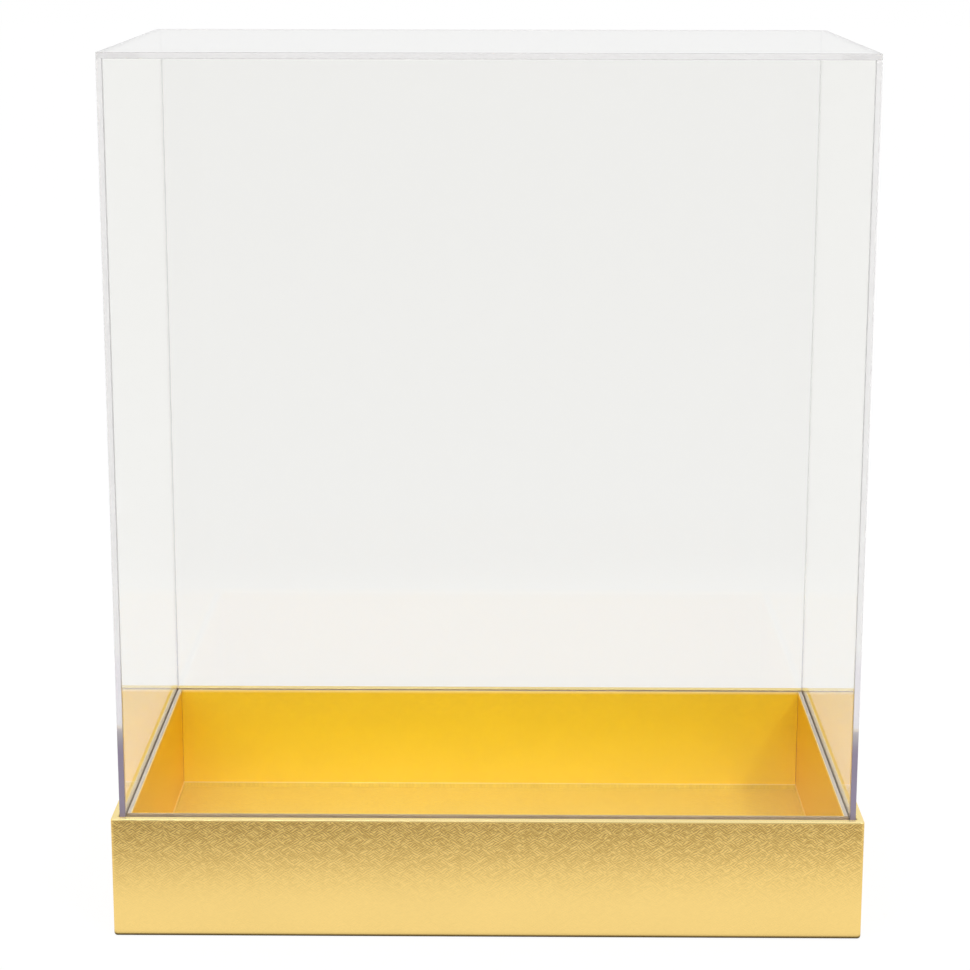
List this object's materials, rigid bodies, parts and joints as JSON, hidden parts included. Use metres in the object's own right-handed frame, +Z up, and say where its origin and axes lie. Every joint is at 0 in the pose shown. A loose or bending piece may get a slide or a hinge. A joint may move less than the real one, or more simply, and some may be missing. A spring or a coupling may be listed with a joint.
{
  "type": "card box",
  "caption": "Upright rectangular clear acrylic cover, open underneath, standing in the rim groove of a shallow gold paper-wrapped board tray; the cover lifts off.",
  "frame": {"origin": "middle of the tray's underside, on the table", "axes": "+Z up, the way the cover lifts; -Y to the front, +X to the right seen from the front"},
  "size_m": [0.26, 0.145, 0.3054],
  "materials": {
    "gold_wrap": "embossed metallic gold paper",
    "gold_lining": "smooth satin metallic gold paper",
    "grey_board": "plain grey board with cut edges",
    "stay_tape": "plain brown paper tape",
    "base_paper": "plain white paper",
    "clear_acrylic": "clear polished acrylic sheet"
  },
  "bodies": {
    "tray": {"base_sheet": "base_paper", "base_board": "grey_board", "floor_lining": "gold_lining", "outer_wrap": "gold_wrap", "corner_stays": "stay_tape", "wall_board_front": "grey_board", "wall_board_back": "grey_board", "wall_board_left": "grey_board", "wall_board_right": "grey_board", "collar_board_front": "grey_board", "collar_board_back": "grey_board", "collar_board_left": "grey_board", "collar_board_right": "grey_board", "collar_lining_front": "gold_lining", "collar_lining_back": "gold_lining", "collar_lining_left": "gold_lining", "collar_lining_right": "gold_lining"},
    "cover": {"acrylic_front": "clear_acrylic", "acrylic_back": "clear_acrylic", "acrylic_left": "clear_acrylic", "acrylic_right": "clear_acrylic", "acrylic_top": "clear_acrylic"}
  },
  "joints": [
    {"name": "cover_lift", "type": "slide", "parent": "tray", "child": "cover", "axis": [0, 0, 1], "range_m": [0, 0.06]}
  ]
}
